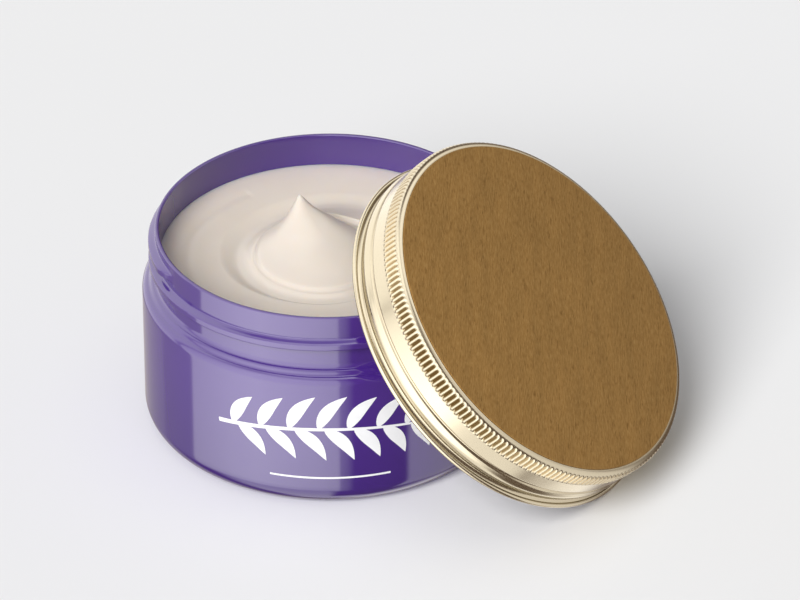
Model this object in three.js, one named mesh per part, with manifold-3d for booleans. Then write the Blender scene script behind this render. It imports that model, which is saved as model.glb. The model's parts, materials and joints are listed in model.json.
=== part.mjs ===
// A low, wide screw jar of cosmetic cream, open, with its lid leaning on the rim.
// Millimetres, +Z up. The origin is the centre of the jar's flat underside, and
// +X points from the jar's axis towards the leaning lid.

import * as THREE from "three";
import { mergeVertices } from "three/addons/utils/BufferGeometryUtils.js";
import Module from "manifold-3d";

const wasm = await Module();
wasm.setup();

// ---- Driving dimensions ----

const SEGMENTS = 72; // facets round every turned piece
const CLEARANCE = 0.3; // gap between pieces that touch on the real object

// Jar
const BODY_R = 40;
const HEEL_R = 4.4; // round from the underside into the wall
const SHOULDER_Z = 32.6; // where the wall would meet the shoulder if it were sharp
const SHOULDER_ROUND = 1.8;
const SHOULDER_RISE = 0.9; // the shoulder's slope, from the wall up to the neck
const NECK_R = 37;
const NECK_FILLET = 1.2;
const RIM_Z = 46;
const RIM_LAND = 0.9; // width of the flat sealing land on top of the neck
const RIM_ROUND = 0.3;
const WALL = 1.2;
const FLOOR = 1.8;

// Jar thread: one right-hand round ridge, falling clockwise as seen from above
const THREAD_R = 1.05; // radius of the ridge's section
const THREAD_PROUD = 1.5; // how far the ridge stands out of the neck
const THREAD_PITCH = 4;
const THREAD_TURNS = 1.5;
const THREAD_TOP_Z = 42.8; // middle of the ridge at its upper end
const THREAD_TOP_DEG = 233; // direction of the upper end, anticlockwise from +X

// Cream
const CREAM_EDGE_Z = 38.5;
const CREAM_EDGE_CROWN = 0.3; // the swell just inside the wall
const CREAM_TROUGH_R = 21;
const CREAM_TROUGH_DEPTH = 1.1;
const CREAM_PEAK_R = 13;
const CREAM_PEAK_Z = 48;
const CREAM_TIP_X = -9.3; // where the tip of the swirl ends up
const CREAM_TIP_Y = 5.5;

// Cap, measured up from its open edge
const CAP_H = 14.4; // to the face of the paper disc
const CAP_SHEET = 0.4; // aluminium thickness
const CURL_OUTER_R = 40.56;
const CURL_R = 0.58;
const GROOVE_R = 39;
const LOWER_GROOVE_Z = 1.75;
const BEAD_R = 39.75;
const BEAD_Z = 3.6;
const UPPER_GROOVE_Z = 5.4;
const BAND_R = 39.55;
const BAND_Z = 6.2;
const KNURL_R = 39.85;
const KNURL_LOW_Z = 9.4;
const KNURL_HIGH_Z = 12.7;
const CROWN_R = 38.4; // outer edge of the flat top
const DISC_R = 38.1;
const DISC_T = 0.5;
const LINER_R = 38.2;
const LINER_T = 1.2;

// Leaning lid
const LEAN_TILT_DEG = 44.25; // between the lid's axis and the jar's
const LEAN_REACH = 40; // from the jar's axis to the middle of the lid's open edge

// ---- Shared helpers ----

const radians = THREE.MathUtils.degToRad;

// Points on an arc in a profile's (radius, height) plane, both ends included
function arc(centreR, centreZ, radius, startDeg, endDeg, steps) {
  const points = [];
  for (let i = 0; i <= steps; i += 1) {
    const angle = radians(startDeg + ((endDeg - startDeg) * i) / steps);
    points.push([centreR + radius * Math.cos(angle), centreZ + radius * Math.sin(angle)]);
  }
  return points;
}

// A solid turned about Z from a profile that runs from the axis round and back to it
function turned(profile) {
  const points = profile.map(([radius, height]) => new THREE.Vector2(radius, height));
  const geometry = new THREE.LatheGeometry(points, SEGMENTS);
  geometry.rotateX(Math.PI / 2);
  return geometry;
}

// The same shape with shared vertices and no seams
function welded(geometry) {
  const bare = geometry.index ? geometry.toNonIndexed() : geometry.clone();
  bare.deleteAttribute("normal");
  bare.deleteAttribute("uv");
  return mergeVertices(bare, 1e-4);
}

function toManifold(geometry) {
  const bare = welded(geometry);
  const mesh = new wasm.Mesh({
    numProp: 3,
    vertProperties: new Float32Array(bare.attributes.position.array),
    triVerts: new Uint32Array(bare.index.array),
  });
  mesh.merge();
  return new wasm.Manifold(mesh);
}

function fromManifold(solid) {
  const mesh = solid.getMesh();
  const geometry = new THREE.BufferGeometry();
  geometry.setAttribute("position", new THREE.BufferAttribute(mesh.vertProperties, 3));
  geometry.setIndex(new THREE.BufferAttribute(mesh.triVerts, 1));
  geometry.computeVertexNormals();
  return geometry;
}

function piece(name, geometry, color, roughness, metalness) {
  const material = new THREE.MeshStandardMaterial({ color, roughness, metalness });
  const mesh = new THREE.Mesh(geometry, material);
  mesh.name = name;
  return mesh;
}

// ---- Jar ----

const shoulderTopZ = SHOULDER_Z + SHOULDER_RISE;
const innerBodyR = BODY_R - WALL;
const mouthR = NECK_R - RIM_LAND;
const innerShoulderZ = SHOULDER_Z - WALL;

class ThreadHelix extends THREE.Curve {
  getPoint(t, target = new THREE.Vector3()) {
    const angle = radians(THREAD_TOP_DEG) - t * THREAD_TURNS * 2 * Math.PI;
    const radius = NECK_R + THREAD_PROUD - THREAD_R;
    const height = THREAD_TOP_Z - t * THREAD_TURNS * THREAD_PITCH;
    return target.set(radius * Math.cos(angle), radius * Math.sin(angle), height);
  }
}

function threadRidge() {
  const section = new THREE.Shape();
  section.absarc(0, 0, THREAD_R, 0, 2 * Math.PI);
  return new THREE.ExtrudeGeometry(section, {
    extrudePath: new ThreadHelix(),
    steps: Math.round(THREAD_TURNS * SEGMENTS),
    curveSegments: 4,
    bevelEnabled: false,
  });
}

function jarBody() {
  const shell = turned([
    [0, 0],
    ...arc(BODY_R - HEEL_R, HEEL_R, HEEL_R, -90, 0, 5),
    ...arc(BODY_R - SHOULDER_ROUND, SHOULDER_Z - SHOULDER_ROUND, SHOULDER_ROUND, 0, 75, 4),
    ...arc(NECK_R + NECK_FILLET, shoulderTopZ + NECK_FILLET, NECK_FILLET, 260, 180, 4),
    [NECK_R, RIM_Z - RIM_ROUND],
    [NECK_R - RIM_ROUND, RIM_Z],
    [mouthR, RIM_Z],
    [mouthR, shoulderTopZ],
    [innerBodyR, innerShoulderZ - WALL],
    ...arc(innerBodyR - HEEL_R, FLOOR + HEEL_R, HEEL_R, 0, -90, 4),
    [0, FLOOR],
  ]);
  const solid = toManifold(shell).add(toManifold(threadRidge()));
  return piece("jar_body", fromManifold(solid), 0x5a3a98, 0.2, 0);
}

// ---- Cream ----

// The swirl's top, turned, then drawn over to one side as it rises to its tip
function creamFill() {
  const wallR = mouthR - CLEARANCE;
  const bulgeR = innerBodyR - CLEARANCE;
  const bottomZ = FLOOR + CLEARANCE;
  const peakFootZ = CREAM_EDGE_Z - CREAM_TROUGH_DEPTH / 2;
  const foldZ = CREAM_EDGE_Z + CREAM_EDGE_CROWN;
  const rise = CREAM_PEAK_Z - peakFootZ;
  const slope = [0.08, 0.2, 0.35, 0.55, 0.8].map((share) => [
    CREAM_PEAK_R * share,
    peakFootZ + rise * (1 - share) ** 2,
  ]);
  const geometry = turned([
    [0, bottomZ],
    ...arc(bulgeR - HEEL_R, bottomZ + HEEL_R, HEEL_R, -90, 0, 3),
    [bulgeR, innerShoulderZ - WALL - CLEARANCE],
    [wallR, shoulderTopZ - CLEARANCE],
    [wallR, CREAM_EDGE_Z],
    [wallR - 4, foldZ],
    [CREAM_TROUGH_R, CREAM_EDGE_Z - CREAM_TROUGH_DEPTH],
    [CREAM_PEAK_R, peakFootZ],
    ...slope.reverse(),
    [0, CREAM_PEAK_Z],
  ]);
  const position = geometry.attributes.position;
  for (let i = 0; i < position.count; i += 1) {
    const share = Math.max(0, (position.getZ(i) - foldZ) / (CREAM_PEAK_Z - foldZ));
    position.setX(i, position.getX(i) + CREAM_TIP_X * share);
    position.setY(i, position.getY(i) + CREAM_TIP_Y * share);
  }
  return piece("cream_fill", welded(geometry), 0xe0d6ca, 0.45, 0);
}

// ---- Lid, each piece about its own axis with the open edge at height 0 ----

const discLowZ = CAP_H - DISC_T;
const crownZ = discLowZ - CLEARANCE;
const linerTopZ = crownZ - CAP_SHEET - CLEARANCE;
const curlMidR = CURL_OUTER_R - CURL_R;
const crownRound = KNURL_R - CROWN_R;

function capShell() {
  const outside = [
    [CROWN_R, crownZ],
    ...arc(CROWN_R, KNURL_HIGH_Z, crownRound, 60, 0, 2),
    [KNURL_R, KNURL_LOW_Z],
    [BAND_R, KNURL_LOW_Z - 0.3],
    [BAND_R, BAND_Z],
    [GROOVE_R, UPPER_GROOVE_Z],
    [BEAD_R, BEAD_Z + 0.8],
    [BEAD_R, BEAD_Z - 0.8],
    [GROOVE_R, LOWER_GROOVE_Z],
  ];
  const inside = outside.map(([radius, height]) => [radius - CAP_SHEET, height]);
  inside[0][1] = crownZ - CAP_SHEET;
  const geometry = turned([
    [0, crownZ - CAP_SHEET],
    ...inside,
    ...arc(curlMidR, CURL_R, CURL_R, 180, 450, 6),
    ...outside.reverse(),
    [0, crownZ],
  ]);
  return piece("cap_shell", welded(geometry), 0xd8bf86, 0.25, 1);
}

function flatDisc(name, radius, lowZ, thickness, color, roughness) {
  const geometry = turned([
    [0, lowZ],
    [radius, lowZ],
    [radius, lowZ + thickness],
    [0, lowZ + thickness],
  ]);
  return piece(name, welded(geometry), color, roughness, 0);
}

function leaningLid() {
  const tilt = radians(LEAN_TILT_DEG);
  const lowest = -Math.sin(tilt) * curlMidR + Math.cos(tilt) * CURL_R - CURL_R;
  const lid = new THREE.Group();
  lid.position.set(LEAN_REACH, 0, -lowest);
  lid.rotation.y = tilt;
  lid.add(capShell());
  lid.add(flatDisc("kraft_disc", DISC_R, discLowZ, DISC_T, 0x8f6c3c, 0.85));
  lid.add(flatDisc("cap_liner", LINER_R, linerTopZ - LINER_T, LINER_T, 0xf2f1ec, 0.7));
  return lid;
}

const jar = new THREE.Group();
jar.add(jarBody());
jar.add(creamFill());
jar.add(leaningLid());

export default jar;
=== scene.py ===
import json
import math

import bmesh
import bpy
import numpy as np
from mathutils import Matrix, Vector


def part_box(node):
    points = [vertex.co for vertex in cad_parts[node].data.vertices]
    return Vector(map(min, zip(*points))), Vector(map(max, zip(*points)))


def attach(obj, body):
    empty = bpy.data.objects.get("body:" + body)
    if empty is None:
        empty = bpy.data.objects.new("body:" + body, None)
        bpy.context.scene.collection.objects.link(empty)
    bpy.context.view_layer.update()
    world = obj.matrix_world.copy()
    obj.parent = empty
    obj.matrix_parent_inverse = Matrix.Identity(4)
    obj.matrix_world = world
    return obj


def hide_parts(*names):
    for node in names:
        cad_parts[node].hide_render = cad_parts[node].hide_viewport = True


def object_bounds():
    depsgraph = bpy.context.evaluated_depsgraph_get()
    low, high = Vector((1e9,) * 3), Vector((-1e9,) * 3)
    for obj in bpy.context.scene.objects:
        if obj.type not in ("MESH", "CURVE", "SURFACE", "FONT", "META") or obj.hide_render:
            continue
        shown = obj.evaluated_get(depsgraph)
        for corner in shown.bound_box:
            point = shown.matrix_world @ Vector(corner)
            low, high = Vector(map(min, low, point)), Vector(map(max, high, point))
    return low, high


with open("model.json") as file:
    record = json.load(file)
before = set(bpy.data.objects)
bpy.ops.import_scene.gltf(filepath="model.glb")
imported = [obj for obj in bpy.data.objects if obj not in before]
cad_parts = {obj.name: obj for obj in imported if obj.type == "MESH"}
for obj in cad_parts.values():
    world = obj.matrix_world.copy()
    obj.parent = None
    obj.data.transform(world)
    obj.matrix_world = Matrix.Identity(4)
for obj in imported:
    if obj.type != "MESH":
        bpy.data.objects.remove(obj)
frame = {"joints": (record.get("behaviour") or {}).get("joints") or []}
cad_low, cad_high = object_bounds()

# Shapes are worked out in millimetres and written to the meshes in metres.
MM = 0.001

# ---- Sizes, from the frame where it has them ----

jar_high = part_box("jar_body")[1]
BODY_R = jar_high.x / MM
RIM_Z = jar_high.z / MM
lid_turn = next(j for j in frame["joints"] if j["name"] == "lid_turn")
LID_AXIS = Vector(lid_turn["axis"]).normalized()
LID_ORIGIN = Vector(lid_turn["pos_m"]) / MM

# Jar. HEEL_R is the radius of its rounded foot.
HEEL_R = 4.4
SHOULDER_Z = 32.6
SHOULDER_ROUND = 1.8
SHOULDER_RISE = 0.9
NECK_R = 37.0
NECK_FILLET = 1.2
RIM_LAND = 0.9
RIM_ROUND = 0.28
SHOULDER_SLOPE_DEG = 75
WALL = 1.2
JAR_FLOOR = 1.8
JAR_SEGMENTS = 288
OUTSIDE_STEP = 0.8
INSIDE_STEP = 1.5
THREAD_STEP = 0.1

# Jar thread
THREAD_PROUD = 1.5
THREAD_HALF = 1.4
THREAD_CREST_HALF = 0.55
THREAD_PITCH = 4.0
THREAD_TURNS = 1.5
THREAD_TOP_Z = 42.8
THREAD_TOP_DEG = 233.0
THREAD_RUN_IN_DEG = 9.0

# Cream: a shallow dish with a drawn-up peak
CREAM_GAP = 0.05
CREAM_EDGE_Z = 38.5
DISH_DEPTH = 1.3
DISH_FLAT_R = 19
DISH_EDGE_R = 35.5
CREAM_TIP = (-9.3, 5.5)
CREAM_TIP_DEG = math.degrees(math.atan2(CREAM_TIP[1], CREAM_TIP[0]))
CREAM_PEAK_Z = 48.0
PEAK_BLUNT = 0.06
PEAK_REACH = 5.8
PEAK_STRETCH = 3.0
PEAK_LONG_DEG = -20.0
PEAK_POWER = 1.15
CREAM_SEGMENTS = 360
CREAM_RINGS = 190
RING_CROWDING = 1.4

# Cream: the mound inside the trough. Travel is in degrees clockwise from the tip, over two turns, and each
# step is (change, travel where it starts, travel where it ends).
MOUND_RISE = 1.6
MOUND_STEPS = [(1.0, 0, 40), (-0.7, 250, 305), (-0.3, 360, 470)]
MOUND_INSET = 0.5
MOUND_POWER = 1.25
MOUND_MIDDLE = 0.95
MOUND_SETTLED_R = 10

# Cream: the trough that a spoon leaves, and a crease and a ring beside it. A pair of numbers that runs
# downwards is a fade that falls.
TROUGH_START_R = 10.8
TROUGH_SPREAD = 8.5
TROUGH_STEPS = [(1.25, 0, 30), (-0.45, 90, 200), (-0.8, 330, 480)]
TROUGH_INNER_BANK = (-3.4, 0.3)
TROUGH_OUTER_START = 1.3
TROUGH_OUTER_END = 2.5
TROUGH_END_STEPS = [(3.0, 225, 310)]
CREASE_DEPTH = 0.28
CREASE_FADE_IN = (60, 150)
CREASE_FADE_OUT = (420, 330)
CREASE_INSET = 2.3
CREASE_WIDTH = 0.5
RING_DEPTH = 0.22
RING_R = 30.2
RING_WIDTH = 1.2
RING_MIDDLE_DEG = 330
RING_HALF_DEG = 75

# Cap, measured up from its open edge
CAP_H = 14.4
CAP_SHEET = 0.4
CURL_OUTER_R = 40.56
CURL_R = 0.58
BAND_R = 39.5
KNURL_R = 39.8
KNURL_DEPTH = 0.6
KNURL_LOW_Z = 9.5
KNURL_RISE = 0.6
KNURL_POWER = 2.6
RUN_OUT_DEG = 48.0
KNURL_TEETH = 200
CROWN_Z = 13.9
CROWN_ROUND = 1.6
LIP_Z = 14.18
LIP_DROP = 0.08
LIP_START_DEG = 96
LIP_END_GAP_DEG = 3
CURL_START_DEG = 125
INNER_ROUND = 1.2
CAP_SEGMENTS = 400
POINTS_PER_TOOTH = 8

# Rolled rings of the cap's skirt: (height, half width, how far it stands out, below 0 for a groove)
SKIRT_RINGS = [(5.4, 0.62, -0.5), (3.6, 1.3, 0.22), (1.7, 0.7, -0.42)]
SKIRT_STEP = 0.16
SKIRT_TOP_GAP = 0.15
INNER_SKIRT_LOW_Z = 1.0
INNER_SKIRT_STEP = 0.25
CAP_INSIDE_STEP = 2

# Paper disc and liner. The liner has a dent all round, as if the jar's rim had pressed it.
DISC_R = 38.1
DISC_GAP = 0.04
LIP_FOOT_GAP = 0.05
DISC_ROUND = 0.12
DISC_STEP = 0.5
LINER_R = 38.2
LINER_LOW_Z = 11.7
LINER_GAP = 0.02
LINER_ROUND = 0.3
DENT_R = NECK_R - 0.5
DENT_HALF = 0.9
DENT_DEPTH = 0.25

# Camera
CAMERA_AZIMUTH = 24.293
CAMERA_ELEVATION = 33.177
CAMERA_DISTANCE = 1.2838
CAMERA_LENS = 270
AIM_RIGHT = -0.00177
AIM_UP = -0.00093

# Print. Its middle is an angle from +X, one degree to the right of where the camera looks from.
PRINT_MIDDLE = math.radians(270 + CAMERA_AZIMUTH + 1)
PRINT_PROUD = 0.04
SPRIG_LENGTH = 50.0
STEM_Z = 18.0
STEM_BOW = 2.0
STEM_SHORT = 6
STEM_HALF_WIDTHS = (0.5, 0.25)
LEAF_PAIRS = 7
LEAF_START = 3.5
LEAF_SPAN = SPRIG_LENGTH - 12
LEAF_LENGTH = 10.5
LEAF_SHRINK = 0.6
LONGEST_PAIR = 2.5
LEAF_WIDTH = 2.9
LEAF_SPREAD_DEG = 52
LEAF_STAGGER = 1.2
LEAF_BEND = 0.10
LEAF_TIP_HALF = 0.02
END_LEAF_BACK = 6.5
END_LEAF_DEG = -10
END_LEAF_LENGTH = 8.5
END_LEAF_WIDTH = 3.2
LINE_Z = 7.6
LINE_LENGTH = 26.0
LINE_HALF_WIDTH = 0.22

# Materials
# Height in mm up to which the jar's purple is painted darker towards the base, a painted shade near the
# floor.
PAINTED_SHADE_TOP_Z = 30
FIBRE_DEG = 32.0

# Studio
STUDIO_R = 2500.0
SURROUNDINGS = (0.19, 0.135, 0.10)
AMBIENT = 0.22
STAGE_FLOOR_HALF = 6.0
STAGE_FLOOR_GAP = 0.00002

# Light panels for the glossy surfaces, as (stops round the studio, stops up it). A stop is (degrees, value),
# azimuth is measured from the camera and positive to the right, and the two values are multiplied.
PANELS = {
    "key": ([(-150, 0.2), (-112, 0.4), (-97, 0.5), (-93.5, 0.6), (-92, 1.7), (-80, 2.1), (-61, 2.75),
             (-45, 3.1), (-21, 2.85), (-6, 2.6), (6.5, 2.25), (7.5, 1.0), (12, 0.6), (16, 0)],
            [(-46, 0), (-39, 0.6), (-35, 0.85), (-34, 1), (-24, 1), (-10, 0.95), (45, 0.9), (70, 0.4),
             (80, 0)]),
    "low": ([(-88, 0), (-60, 1.4), (0, 1.4), (7, 0)], [(-86, 0), (-80, 1), (-40, 1), (-36, 0)]),
    "left": ([(-180, 0.9), (-160, 1.7), (-100, 1.7), (-90, 0)], [(-26, 0), (-12, 1), (70, 1), (80, 0)]),
    "side": ([(49, 0), (52, 1.2), (95, 1.0), (110, 0)], [(-60, 0), (-50, 1), (45, 1), (60, 0)]),
    "rear": ([(-180, 0.45), (-125, 0.45), (-110, 0), (150, 0), (170, 0.2), (180, 0.45)],
             [(-72, 0), (-60, 1), (10, 1), (25, 0)]),
    "high": ([(85, 0), (100, 1.7), (140, 1.7), (155, 0)], [(0, 0), (12, 0.25), (34, 1), (60, 1), (70, 0)]),
    "top": ([(0, 2.0)], [(62, 0), (74, 1)]),
    "ground": ([(60, 0), (110, 1.4), (165, 1.4), (178, 0)], [(-84, 1), (-62, 1), (-52, 0)]),
    "below": ([(0, 1.3)], [(-83, 1), (-76, 0)]),
}


# ---- Mesh helpers ----

def smoothstep(low, high, value):
    share = np.clip((value - low) / (high - low), 0, 1)
    return share * share * (3 - 2 * share)


def stepped(steps, value):
    """The sum of smooth steps, each (change, where it starts, where it ends)."""
    return sum(change * smoothstep(low, high, value) for change, low, high in steps)


def bump(value):
    """A round hump: 1 at 0, falling to 0 at -1 and 1."""
    return np.where(np.abs(value) < 1, 0.5 + 0.5 * np.cos(np.pi * value), 0.0)


def arc(centre_r, centre_z, radius, start_deg, end_deg, steps):
    """Points (radius, height) on an arc of a profile, both ends included."""
    angles = np.radians(np.linspace(start_deg, end_deg, steps + 1))
    return [(centre_r + radius * math.cos(a), centre_z + radius * math.sin(a)) for a in angles]


def dense(profile, step):
    """The same profile with its long stretches cut into steps."""
    out = [profile[0]]
    for start, end in zip(profile, profile[1:]):
        count = max(1, math.ceil(math.dist(start, end) / step))
        for i in range(1, count + 1):
            share = i / count
            radius = start[0] + (end[0] - start[0]) * share
            out.append((radius, start[1] + (end[1] - start[1]) * share))
    return out


def circle(radius, height, count):
    """A row of points round the axis. The radius may be one number or one for each point."""
    if np.isscalar(radius) and radius < 1e-9:
        return np.array([[0.0, 0.0, height]])
    angles = np.arange(count) * 2 * math.pi / count
    heights = np.broadcast_to(height, angles.shape)
    return np.stack([radius * np.cos(angles), radius * np.sin(angles), heights], axis=1)


def stretch(start, count, index, steps):
    """Vertex numbers of one of the equal stretches round a row, both ends included."""
    if count == 1:
        return [start]
    width = count // steps
    return [start + (index * width + k) % count for k in range(width + 1)]


def add_piece(name, verts, faces, sharp_deg=40):
    mesh = bpy.data.meshes.new(name)
    mesh.from_pydata((np.asarray(verts) * MM).tolist(), [], faces)
    solid = bmesh.new()
    solid.from_mesh(mesh)
    bmesh.ops.recalc_face_normals(solid, faces=solid.faces)
    solid.to_mesh(mesh)
    solid.free()
    mesh.shade_smooth()
    mesh.set_sharp_from_angle(angle=math.radians(sharp_deg))
    piece = bpy.data.objects.new(name, mesh)
    bpy.context.scene.collection.objects.link(piece)
    return piece


def turned(name, rows, place=None, sharp_deg=40):
    """A closed body through rows of points, from one pole to the other. A row may be finer than the next."""
    verts, faces, starts = [], [], []
    for row in rows:
        starts.append(len(verts))
        verts.extend(row)
    for i in range(len(rows) - 1):
        low_count, high_count = len(rows[i]), len(rows[i + 1])
        steps = min(count for count in (low_count, high_count) if count > 1)
        for k in range(steps):
            low = stretch(starts[i], low_count, k, steps)
            high = stretch(starts[i + 1], high_count, k, steps)
            faces.append(low + high[::-1])
    verts = np.array(verts)
    if place is not None:
        verts = place(verts)
    return add_piece(name, verts, faces, sharp_deg)


def on_lid(points):
    """Points about the lid's own axis, moved to where the lid leans."""
    across = Vector((0, 1, 0))
    along = across.cross(LID_AXIS)
    basis = np.array([along, across, LID_AXIS])
    return points @ basis + np.array(LID_ORIGIN)


# ---- Jar ----

def thread_height(angles_deg, height):
    """How far the thread stands out of the neck at these angles."""
    whole = 360 * THREAD_TURNS
    out = np.zeros_like(angles_deg)
    for turn in range(math.ceil(THREAD_TURNS)):
        travel = (THREAD_TOP_DEG - angles_deg) % 360 + 360 * turn
        away = np.abs(height - (THREAD_TOP_Z - THREAD_PITCH * travel / 360))
        ends = smoothstep(0, THREAD_RUN_IN_DEG, travel) * smoothstep(0, THREAD_RUN_IN_DEG, whole - travel)
        ridge = 1 - smoothstep(THREAD_CREST_HALF, THREAD_HALF, away)
        out = np.maximum(out, THREAD_PROUD * ridge * ends)
    return out


def jar_rows():
    shoulder_top = SHOULDER_Z + SHOULDER_RISE
    mouth_r = NECK_R - RIM_LAND
    inner_r = BODY_R - WALL
    neck_low = shoulder_top + NECK_FILLET
    neck_high = RIM_Z - RIM_ROUND
    shoulder_r = BODY_R - SHOULDER_ROUND
    outside = [(0, 0)]
    outside += arc(BODY_R - HEEL_R, HEEL_R, HEEL_R, -90, 0, 24)
    outside += arc(shoulder_r, SHOULDER_Z - SHOULDER_ROUND, SHOULDER_ROUND, 0, SHOULDER_SLOPE_DEG, 16)
    outside += arc(NECK_R + NECK_FILLET, neck_low, NECK_FILLET, 180 + SHOULDER_SLOPE_DEG, 180, 14)
    inside = arc(NECK_R - RIM_ROUND, neck_high, RIM_ROUND, 0, 90, 6)
    inside += arc(mouth_r + RIM_ROUND, neck_high, RIM_ROUND, 90, 180, 6)
    inside += [(mouth_r, shoulder_top), (inner_r, SHOULDER_Z - 2 * WALL)]
    inside += arc(inner_r - HEEL_R, JAR_FLOOR + HEEL_R, HEEL_R, 0, -90, 12)
    inside += [(0, JAR_FLOOR)]
    angles_deg = np.arange(JAR_SEGMENTS) * 360 / JAR_SEGMENTS
    rows = [circle(r, z, JAR_SEGMENTS) for r, z in dense(outside, OUTSIDE_STEP)]
    for height in np.arange(neck_low + THREAD_STEP, neck_high, THREAD_STEP):
        rows.append(circle(NECK_R + thread_height(angles_deg, height), height, JAR_SEGMENTS))
    rows += [circle(r, z, JAR_SEGMENTS) for r, z in dense(inside, INSIDE_STEP)]
    return rows


# ---- Cream ----

def swirl(x, y):
    """Height of the cream without its peak. A spoon's trough winds outwards, clockwise from the tip."""
    radius = np.hypot(x, y)
    travel = (CREAM_TIP_DEG - np.degrees(np.arctan2(y, x))) % 360
    mound = 0
    trough = 0
    for turn in (0, 1):
        along = travel + 360 * turn
        middle = TROUGH_START_R + TROUGH_SPREAD * along / 360
        away = radius - middle
        lift = stepped(MOUND_STEPS, along)
        mound_r = middle - MOUND_INSET
        mound = mound + lift * np.clip(1 - (radius / mound_r) ** 2, 0, 1) ** MOUND_POWER
        depth = stepped(TROUGH_STEPS, along)
        outer_end = TROUGH_OUTER_END + stepped(TROUGH_END_STEPS, along)
        inner_bank = smoothstep(*TROUGH_INNER_BANK, away)
        trough = trough + depth * (inner_bank - smoothstep(TROUGH_OUTER_START, outer_end, away))
        crease = CREASE_DEPTH * smoothstep(*CREASE_FADE_IN, along) * smoothstep(*CREASE_FADE_OUT, along)
        trough = trough + crease * np.exp(-(((away + CREASE_INSET) / CREASE_WIDTH) ** 2))
    settled = smoothstep(1, MOUND_SETTLED_R, radius)
    ring = RING_DEPTH * np.exp(-(((radius - RING_R) / RING_WIDTH) ** 2))
    ring = ring * bump((travel - RING_MIDDLE_DEG) / RING_HALF_DEG)
    dish = CREAM_EDGE_Z - DISH_DEPTH * (1 - smoothstep(DISH_FLAT_R, DISH_EDGE_R, radius))
    return dish + MOUND_RISE * (MOUND_MIDDLE * (1 - settled) + mound * settled) - trough - ring


def cream_height(x, y):
    """The swirl with its peak, steep behind and to the left, drawn out to the front and right."""
    dx, dy = x - CREAM_TIP[0], y - CREAM_TIP[1]
    distance = np.sqrt(dx * dx + dy * dy + PEAK_BLUNT)
    turned_deg = np.degrees(np.arctan2(dy, dx)) - PEAK_LONG_DEG
    reach = PEAK_REACH + PEAK_STRETCH * np.cos(np.radians(turned_deg))
    rise = CREAM_PEAK_Z - float(swirl(*CREAM_TIP))
    return swirl(x, y) + rise * np.exp(-((distance / reach) ** PEAK_POWER))


def cream_rows():
    mouth_r = NECK_R - RIM_LAND
    inner_r = BODY_R - WALL - CREAM_GAP
    shoulder_top = SHOULDER_Z + SHOULDER_RISE
    low = JAR_FLOOR + CREAM_GAP
    rows = [circle(0, low, CREAM_SEGMENTS)]
    side = arc(inner_r - HEEL_R, low + HEEL_R, HEEL_R, -90, 0, 8)
    side += [(inner_r, SHOULDER_Z - 2 * WALL), (mouth_r - CREAM_GAP, shoulder_top)]
    rows += [circle(r, z, CREAM_SEGMENTS) for r, z in side]
    angles = np.arange(CREAM_SEGMENTS) * 2 * math.pi / CREAM_SEGMENTS
    for share in np.linspace(1, 0, CREAM_RINGS):
        pull = (1 - share) ** RING_CROWDING
        x = CREAM_TIP[0] * pull + mouth_r * share * np.cos(angles)
        y = CREAM_TIP[1] * pull + mouth_r * share * np.sin(angles)
        row = np.stack([x, y, cream_height(x, y)], axis=1)
        rows.append(row if share > 0 else row[:1])
    return rows


# ---- Lid ----

def cap_outline(height):
    """Radius of the cap's smooth skirt at a height above its open edge."""
    radius = BAND_R
    for middle, half_width, proud in SKIRT_RINGS:
        radius = radius + proud * bump((height - middle) / half_width)
    return radius


def knurl_row(radius, height, depth):
    """A fine row through the knurl: ribs with narrow grooves of this depth between them."""
    count = KNURL_TEETH * POINTS_PER_TOOTH
    phase = np.arange(count) / POINTS_PER_TOOTH % 1
    return circle(radius - depth * np.abs(np.cos(math.pi * phase)) ** KNURL_POWER, height, count)


def knurl_rows():
    """The ribs stand up from the band and run out over the rounded shoulder."""
    shoulder_r = KNURL_R - CROWN_ROUND
    shoulder_z = LIP_Z - CROWN_ROUND
    rows = []
    for angle in np.linspace(RUN_OUT_DEG, 0, 9):
        radius, height = arc(shoulder_r, shoulder_z, CROWN_ROUND, angle, angle, 1)[0]
        rows.append(knurl_row(radius, height, KNURL_DEPTH * float(1 - smoothstep(0, RUN_OUT_DEG, angle))))
    for height in np.linspace(shoulder_z, KNURL_LOW_Z, 12)[1:]:
        rise = float(smoothstep(KNURL_LOW_Z, KNURL_LOW_Z + KNURL_RISE, height))
        rows.append(knurl_row(BAND_R + (KNURL_R - BAND_R) * rise, height, KNURL_DEPTH * rise))
    return rows


def cap_rows():
    curl_mid_r = CURL_OUTER_R - CURL_R
    crown = [(0, CROWN_Z), (DISC_R + DISC_GAP, CROWN_Z), (DISC_R + LIP_FOOT_GAP, LIP_Z - LIP_DROP)]
    lip_end_deg = RUN_OUT_DEG + LIP_END_GAP_DEG
    crown += arc(KNURL_R - CROWN_ROUND, LIP_Z - CROWN_ROUND, CROWN_ROUND, LIP_START_DEG, lip_end_deg, 16)
    rows = [circle(r, z, CAP_SEGMENTS) for r, z in crown]
    rows += knurl_rows()
    skirt_heights = np.arange(KNURL_LOW_Z - SKIRT_TOP_GAP, 2 * CURL_R, -SKIRT_STEP)
    rows += [circle(float(cap_outline(z)), z, CAP_SEGMENTS) for z in skirt_heights]
    curl = arc(curl_mid_r, CURL_R, CURL_R, CURL_START_DEG, -180, 30)
    rows += [circle(r, z, CAP_SEGMENTS) for r, z in curl]
    inner_r = BAND_R - CAP_SHEET
    inner_z = CROWN_Z - CAP_SHEET
    inside_heights = np.arange(INNER_SKIRT_LOW_Z, KNURL_LOW_Z, INNER_SKIRT_STEP)
    inside = [(float(cap_outline(z)) - CAP_SHEET, z) for z in inside_heights]
    inside += arc(inner_r - INNER_ROUND, inner_z - INNER_ROUND, INNER_ROUND, 0, 90, 8)
    inside += [(0, inner_z)]
    rows += [circle(r, z, CAP_SEGMENTS) for r, z in dense(inside, CAP_INSIDE_STEP)]
    return rows


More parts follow.
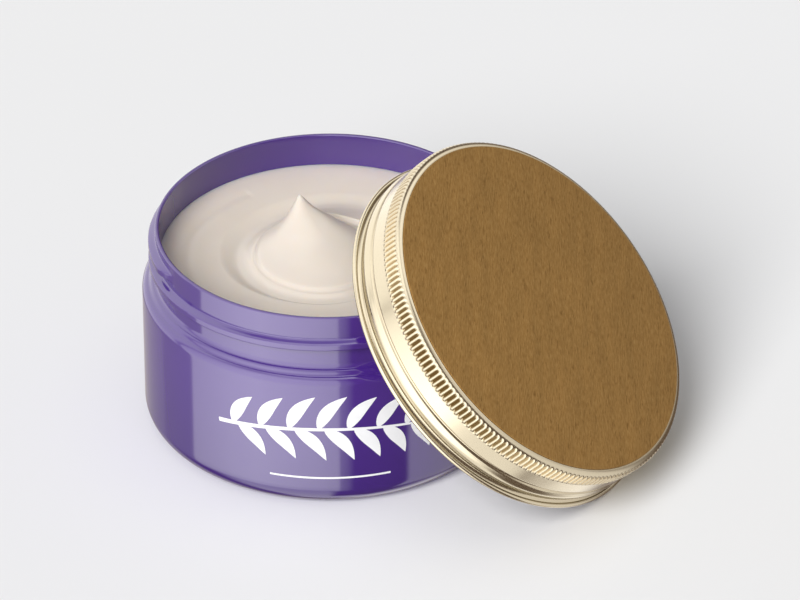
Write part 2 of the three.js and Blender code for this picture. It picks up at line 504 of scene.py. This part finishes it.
def disc_rows(radius, low, high, round_r, segments, dents=()):
    """A flat disc with rounded edges. A dent in its lower face is (radius, half width, depth)."""
    lower = [(r, low) for r in np.arange(0, radius - round_r, DISC_STEP)]
    lower = [(r, z + sum(d * float(bump((r - at) / half)) for at, half, d in dents)) for r, z in lower]
    edge = arc(radius - round_r, low + round_r, round_r, -90, 0, 5)
    edge += arc(radius - round_r, high - round_r, round_r, 0, 90, 5)
    return [circle(r, z, segments) for r, z in lower + edge + [(0, high)]]


# ---- Print on the jar's front: a plain leaf sprig over a thin line ----

def ribbon(centre, half_width, across=5):
    """A thin closed strip laid on the jar's wall, along points (distance round the wall, height)."""
    centre = np.asarray(centre)
    heading = np.gradient(centre, axis=0)
    heading /= np.linalg.norm(heading, axis=1)[:, None]
    side = np.stack([-heading[:, 1], heading[:, 0]], axis=1)
    count = len(centre)
    verts = []
    for radius in (BODY_R + PRINT_PROUD, BODY_R - PRINT_PROUD):
        for share in np.linspace(-1, 1, across):
            flat = centre + side * (half_width * share)[:, None]
            angle = PRINT_MIDDLE + flat[:, 0] / BODY_R
            verts.append(np.stack([radius * np.cos(angle), radius * np.sin(angle), flat[:, 1]], axis=1))
    verts = np.concatenate(verts)
    faces = []
    for layer in (0, 1):
        for lane in range(across - 1):
            for i in range(count - 1):
                first = (layer * across + lane) * count + i
                face = [first, first + 1, first + count + 1, first + count]
                faces.append(face if layer == 0 else face[::-1])
    lift = across * count
    border = list(range(count))
    border += [lane * count + count - 1 for lane in range(1, across)]
    border += [(across - 1) * count + i for i in range(count - 2, -1, -1)]
    border += [lane * count for lane in range(across - 2, 0, -1)]
    for a, b in zip(border, border[1:] + border[:1]):
        faces.append([b, a, a + lift, b + lift])
    return verts, faces


def leaf(foot, direction_deg, length, width):
    """One pointed leaf, a little curved."""
    along = np.linspace(0, 1, 17)
    bend = LEAF_BEND * length * np.sin(np.pi * along)
    angle = math.radians(direction_deg)
    forward = np.array([math.cos(angle), math.sin(angle)])
    side = np.array([-forward[1], forward[0]])
    centre = np.asarray(foot) + np.outer(along * length, forward) + np.outer(bend, side)
    fullness = np.sin(np.pi * along ** 0.8) ** 0.9
    return ribbon(centre, LEAF_TIP_HALF + width / 2 * fullness)


def stem_point(x):
    return np.array([x, STEM_Z + STEM_BOW * math.cos(math.pi * x / SPRIG_LENGTH)])


def sprig_strips():
    left = -SPRIG_LENGTH / 2
    xs = np.linspace(left, SPRIG_LENGTH / 2 - STEM_SHORT, 60)
    strips = [ribbon([stem_point(x) for x in xs], np.linspace(*STEM_HALF_WIDTHS, len(xs)))]
    for i in range(LEAF_PAIRS):
        x = left + LEAF_START + i * LEAF_SPAN / (LEAF_PAIRS - 1)
        slope = math.degrees(math.atan2(*(stem_point(x + 0.5) - stem_point(x - 0.5))[::-1]))
        length = LEAF_LENGTH - LEAF_SHRINK * abs(i - LONGEST_PAIR)
        strips.append(leaf(stem_point(x), slope + LEAF_SPREAD_DEG, length, LEAF_WIDTH))
        strips.append(leaf(stem_point(x + LEAF_STAGGER), slope - LEAF_SPREAD_DEG, length, LEAF_WIDTH))
    end = stem_point(SPRIG_LENGTH / 2 - END_LEAF_BACK)
    strips.append(leaf(end, END_LEAF_DEG, END_LEAF_LENGTH, END_LEAF_WIDTH))
    line_xs = np.linspace(-LINE_LENGTH / 2, LINE_LENGTH / 2, 30)
    strips.append(ribbon([(x, LINE_Z) for x in line_xs], np.full(len(line_xs), LINE_HALF_WIDTH)))
    return strips


def add_print():
    verts, faces, first = [], [], 0
    for strip_verts, strip_faces in sprig_strips():
        verts.append(strip_verts)
        faces += [[first + v for v in face] for face in strip_faces]
        first += len(strip_verts)
    return add_piece("front_print", np.concatenate(verts), faces)


# ---- Materials ----

def new_material(name):
    material = bpy.data.materials.new(name)
    material.use_nodes = True
    shader = material.node_tree.nodes["Principled BSDF"]
    return material, material.node_tree, shader


def add_node(tree, kind, **settings):
    node = tree.nodes.new(kind)
    for name, value in settings.items():
        if name.startswith("in_"):
            node.inputs[name[3:].replace("_", " ")].default_value = value
        else:
            setattr(node, name, value)
    return node


def noise(tree, vector, scale, detail=2.0, roughness=0.5):
    node = add_node(tree, "ShaderNodeTexNoise", in_Scale=scale, in_Detail=detail, in_Roughness=roughness)
    tree.links.new(vector, node.inputs["Vector"])
    return node.outputs["Fac"]


def ramp(tree, value, stops):
    """A colour ramp through (place, colour) stops."""
    node = tree.nodes.new("ShaderNodeValToRGB")
    points = node.color_ramp.elements
    while len(points) < len(stops):
        points.new(0.5)
    for point, (place, color) in zip(points, stops):
        point.position = place
        point.color = (*color, 1)
    tree.links.new(value, node.inputs["Fac"])
    return node.outputs["Color"]


def remap(tree, value, source, target):
    """The value moved from one (low, high) range to another."""
    node = add_node(tree, "ShaderNodeMapRange")
    tree.links.new(value, node.inputs["Value"])
    for side, (low, high) in (("From", source), ("To", target)):
        node.inputs[side + " Min"].default_value = low
        node.inputs[side + " Max"].default_value = high
    return node.outputs["Result"]


def multiply(tree, first, second, share=None):
    """Two colours multiplied. The share, a node's output, says how far, and without one it is in full."""
    mix = add_node(tree, "ShaderNodeMix", data_type="RGBA", blend_type="MULTIPLY")
    if share is None:
        mix.inputs["Factor"].default_value = 1.0
    else:
        tree.links.new(share, mix.inputs["Factor"])
    tree.links.new(first, mix.inputs["A"])
    tree.links.new(second, mix.inputs["B"])
    return mix.outputs["Result"]


def height_of(tree, vector):
    split = tree.nodes.new("ShaderNodeSeparateXYZ")
    tree.links.new(vector, split.inputs["Vector"])
    return split.outputs["Z"]


def add_bump(tree, shader, height, strength, distance):
    node = add_node(tree, "ShaderNodeBump", in_Strength=strength, in_Distance=distance)
    tree.links.new(height, node.inputs["Height"])
    tree.links.new(node.outputs["Normal"], shader.inputs["Normal"])


def object_coordinates(tree):
    return tree.nodes.new("ShaderNodeTexCoord").outputs["Object"]


def lid_coordinates(tree):
    """Object coordinates turned and moved to the lid's own axis."""
    mapping = tree.nodes.new("ShaderNodeMapping")
    mapping.vector_type = "TEXTURE"
    mapping.inputs["Location"].default_value = LID_ORIGIN * MM
    mapping.inputs["Rotation"].default_value = LID_AXIS.to_track_quat("Z", "Y").to_euler()
    tree.links.new(object_coordinates(tree), mapping.inputs["Vector"])
    return mapping.outputs["Vector"]


def jar_plastic():
    material, tree, shader = new_material("jar_plastic")
    where = object_coordinates(tree)
    cloud = noise(tree, where, 22, 3)
    color = ramp(tree, cloud, [(0.3, (0.050, 0.0150, 0.188)), (0.7, (0.057, 0.0180, 0.206))])
    # Painted shade: the purple is painted darker towards the base, to 0.72 of itself at 3 mm up and back to
    # full by 27 mm, standing in for the shade near the floor.
    up = remap(tree, height_of(tree, where), (0, PAINTED_SHADE_TOP_Z * MM), (0, 1))
    painted_base_shade = ramp(tree, up, [(0.1, (0.72, 0.70, 0.78)), (0.9, (1.0, 1.0, 1.0))])
    tree.links.new(multiply(tree, color, painted_base_shade), shader.inputs["Base Color"])
    rough = remap(tree, noise(tree, where, 160, 3), (0.3, 0.7), (0.05, 0.085))
    tree.links.new(rough, shader.inputs["Roughness"])
    shader.inputs["IOR"].default_value = 1.82
    add_bump(tree, shader, noise(tree, where, 60, 1), 0.02, 0.0004)
    return material


def cream_material():
    material, tree, shader = new_material("cream")
    where = object_coordinates(tree)
    color = ramp(tree, noise(tree, where, 45, 3), [(0.3, (0.655, 0.588, 0.515)), (0.7, (0.70, 0.633, 0.56))])
    tree.links.new(color, shader.inputs["Base Color"])
    shader.inputs["Roughness"].default_value = 0.36
    shader.inputs["Subsurface Weight"].default_value = 0.8
    shader.inputs["Subsurface Radius"].default_value = (1.0, 0.75, 0.5)
    shader.inputs["Subsurface Scale"].default_value = 0.003
    add_bump(tree, shader, noise(tree, where, 130, 2), 0.06, 0.0004)
    return material


def gold_aluminium():
    material, tree, shader = new_material("gold_aluminium")
    where = lid_coordinates(tree)
    color = ramp(tree, noise(tree, where, 30, 2), [(0.3, (0.49, 0.44, 0.325)), (0.7, (0.52, 0.465, 0.345))])
    # Painted shade: an ambient occlusion reading paints the gold a dark brown in grooves and crevices. The
    # darkening is in full on the knurl and the shoulder above it, and a fifth as much on the skirt below.
    groove_shade_ao = add_node(tree, "ShaderNodeAmbientOcclusion", in_Distance=0.0012, samples=8)
    depth = ramp(tree, groove_shade_ao.outputs["AO"], [(0.55, (0.36, 0.26, 0.12)), (0.97, (1.0, 1.0, 1.0))])
    knurl_ends = ((KNURL_LOW_Z - 0.5) * MM, KNURL_LOW_Z * MM)
    groove_shade_share = remap(tree, height_of(tree, where), knurl_ends, (0.2, 1.0))
    tree.links.new(multiply(tree, color, depth, groove_shade_share), shader.inputs["Base Color"])
    shader.inputs["Metallic"].default_value = 1.0
    rough = remap(tree, noise(tree, where, 220, 3), (0.3, 0.7), (0.19, 0.24))
    tree.links.new(rough, shader.inputs["Roughness"])
    add_bump(tree, shader, noise(tree, where, 420, 2), 0.03, 0.0002)
    return material


def kraft_paper():
    material, tree, shader = new_material("kraft_paper")
    fibres = tree.nodes.new("ShaderNodeMapping")
    fibres.vector_type = "TEXTURE"
    fibres.inputs["Rotation"].default_value = (0, 0, math.radians(FIBRE_DEG))
    fibres.inputs["Scale"].default_value = (1.0, 0.2, 1.0)
    tree.links.new(lid_coordinates(tree), fibres.inputs["Vector"])
    along = fibres.outputs["Vector"]
    streaks = noise(tree, along, 620, 3, 0.6)
    flecks = noise(tree, along, 520, 2, 0.55)
    cloud = noise(tree, along, 70, 3)
    base = ramp(tree, streaks, [(0.25, (0.220, 0.110, 0.027)), (0.5, (0.290, 0.157, 0.045)),
                                (0.75, (0.365, 0.210, 0.068))])
    shade = ramp(tree, flecks, [(0.30, (0.72, 0.68, 0.62)), (0.40, (1.0, 1.0, 1.0))])
    broad = ramp(tree, cloud, [(0.3, (0.89, 0.89, 0.88)), (0.7, (1.07, 1.07, 1.07))])
    mixed = multiply(tree, multiply(tree, base, shade), broad)
    tree.links.new(mixed, shader.inputs["Base Color"])
    shader.inputs["Roughness"].default_value = 0.82
    shader.inputs["Specular IOR Level"].default_value = 0.3
    add_bump(tree, shader, streaks, 0.25, 0.0001)
    return material


def liner_foam():
    material, tree, shader = new_material("liner_foam")
    where = lid_coordinates(tree)
    cells = add_node(tree, "ShaderNodeTexVoronoi", in_Scale=1400.0)
    tree.links.new(where, cells.inputs["Vector"])
    color = ramp(tree, noise(tree, where, 60, 2), [(0.3, (0.83, 0.82, 0.79)), (0.7, (0.88, 0.87, 0.85))])
    tree.links.new(color, shader.inputs["Base Color"])
    shader.inputs["Roughness"].default_value = 0.62
    add_bump(tree, shader, cells.outputs["Distance"], 0.15, 0.0002)
    return material


def print_ink():
    material, tree, shader = new_material("print_ink")
    cloud = noise(tree, object_coordinates(tree), 300, 2)
    color = ramp(tree, cloud, [(0.3, (0.80, 0.80, 0.81)), (0.7, (0.86, 0.86, 0.87))])
    tree.links.new(color, shader.inputs["Base Color"])
    shader.inputs["Roughness"].default_value = 0.35
    return material


def floor_material():
    material, _, shader = new_material("floor_paper")
    shader.inputs["Base Color"].default_value = (0.82, 0.82, 0.825, 1)
    shader.inputs["Roughness"].default_value = 0.9
    shader.inputs["Specular IOR Level"].default_value = 0.0
    return material


# ---- Camera and studio ----

def direction(azimuth_deg, elevation_deg):
    """Unit vector from the object towards that side. Azimuth 0 is -Y and 90 is +X."""
    a, e = math.radians(azimuth_deg), math.radians(elevation_deg)
    return Vector((math.sin(a) * math.cos(e), -math.cos(a) * math.cos(e), math.sin(e)))


def look(obj, back):
    obj.rotation_mode = "QUATERNION"
    obj.rotation_quaternion = (-back).to_track_quat("-Z", "Y")


def add_camera():
    back = direction(CAMERA_AZIMUTH, CAMERA_ELEVATION)
    right = direction(CAMERA_AZIMUTH + 90, 0)
    up = back.cross(right)
    aim = (cad_low + cad_high) / 2 + right * AIM_RIGHT + up * AIM_UP
    data = bpy.data.cameras.new("camera")
    data.lens = CAMERA_LENS
    data.sensor_width = 36
    data.clip_start = 0.05
    data.clip_end = 50
    camera = bpy.data.objects.new("camera", data)
    camera.location = aim + back * CAMERA_DISTANCE
    look(camera, back)
    bpy.context.scene.collection.objects.link(camera)
    bpy.context.scene.camera = camera


def add_sun(name, azimuth, elevation, spread_deg, strength):
    """A soft light for the matt surfaces. Its azimuth is measured from the camera, positive to the right."""
    data = bpy.data.lights.new(name, "SUN")
    data.energy = strength
    data.angle = math.radians(spread_deg)
    sun = bpy.data.objects.new(name, data)
    look(sun, direction(CAMERA_AZIMUTH + azimuth, elevation))
    sun.visible_glossy = False
    bpy.context.scene.collection.objects.link(sun)


def fade(angle, stops):
    """A value that runs straight from stop to stop, and holds beyond the first and the last."""
    return np.interp(angle, *zip(*stops))


def softbox_glow(azimuth, elevation):
    """How bright the light panels are to a glossy surface that reflects that side of the studio."""
    return np.maximum.reduce([fade(azimuth, across) * fade(elevation, up) for across, up in PANELS.values()])


def add_softboxes():
    """A dome that only glossy surfaces see, so that they reflect soft light panels."""
    rows = [circle(r, z, 360) for r, z in arc(0, 0, STUDIO_R, -90, 90, 180)]
    dome = turned("softboxes", rows)
    place = np.empty(len(dome.data.vertices) * 3)
    dome.data.vertices.foreach_get("co", place)
    x, y, z = place.reshape(-1, 3).T
    azimuth = (np.degrees(np.arctan2(x, -y)) - CAMERA_AZIMUTH + 180) % 360 - 180
    elevation = np.degrees(np.arctan2(z, np.hypot(x, y)))
    panels = softbox_glow(azimuth, elevation)
    color = [panels + share for share in SURROUNDINGS] + [np.ones_like(panels)]
    glow = dome.data.attributes.new("glow", "FLOAT_COLOR", "POINT")
    glow.data.foreach_set("color", np.stack(color, axis=1).ravel())
    material = bpy.data.materials.new("softboxes")
    material.use_nodes = True
    tree = material.node_tree
    tree.nodes.clear()
    attribute = add_node(tree, "ShaderNodeAttribute", attribute_name="glow")
    emission = tree.nodes.new("ShaderNodeEmission")
    output = tree.nodes.new("ShaderNodeOutputMaterial")
    tree.links.new(attribute.outputs["Color"], emission.inputs["Color"])
    tree.links.new(emission.outputs["Emission"], output.inputs["Surface"])
    material.cycles.emission_sampling = "NONE"
    dome.data.materials.append(material)
    dome.visible_camera = False
    dome.visible_diffuse = False
    dome.visible_shadow = False


def add_floor():
    half = STAGE_FLOOR_HALF
    level = cad_low.z - STAGE_FLOOR_GAP
    mesh = bpy.data.meshes.new("floor")
    corners = [(-half, -half, level), (half, -half, level), (half, half, level), (-half, half, level)]
    mesh.from_pydata(corners, [], [(0, 1, 2, 3)])
    mesh.materials.append(floor_material())
    floor = bpy.data.objects.new("floor", mesh)
    floor.visible_glossy = False
    bpy.context.scene.collection.objects.link(floor)


def add_world():
    world = bpy.data.worlds.new("studio")
    world.use_nodes = True
    background = world.node_tree.nodes["Background"]
    background.inputs["Color"].default_value = (1, 1, 1, 1)
    background.inputs["Strength"].default_value = AMBIENT
    bpy.context.scene.world = world


# ---- Build ----

add_camera()
add_world()
add_floor()
add_softboxes()
add_sun("key_light", azimuth=-30, elevation=37, spread_deg=36, strength=3.4)
add_sun("top_light", azimuth=0, elevation=88, spread_deg=60, strength=0.52)
bpy.context.scene.view_settings.view_transform = "Standard"

kraft_rows = disc_rows(DISC_R, CROWN_Z, CAP_H, DISC_ROUND, CAP_SEGMENTS)
liner_top = CROWN_Z - CAP_SHEET - LINER_GAP
dents = [(DENT_R, DENT_HALF, DENT_DEPTH)]
liner_rows = disc_rows(LINER_R, LINER_LOW_Z, liner_top, LINER_ROUND, CAP_SEGMENTS, dents)
gold = gold_aluminium()

# The print is ink on the jar, so it stands for no node of the frame and has no slot of its own.
pieces = [
    (turned("jar", jar_rows()), "jar", "jar_body", "jar_plastic", jar_plastic()),
    (turned("cream", cream_rows(), sharp_deg=80), "jar", "cream_fill", "cream", cream_material()),
    (turned("cap", cap_rows(), on_lid, sharp_deg=60), "cap", "cap_shell", "gold_aluminium", gold),
    (turned("kraft_top", kraft_rows, on_lid), "cap", "kraft_disc", "kraft_paper", kraft_paper()),
    (turned("liner_disc", liner_rows, on_lid), "liner", "cap_liner", "liner_foam", liner_foam()),
    (add_print(), "jar", None, None, print_ink()),
]
for piece, body, node, slot, material in pieces:
    piece.data.materials.append(material)
    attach(piece, body)
    if node:
        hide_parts(node)
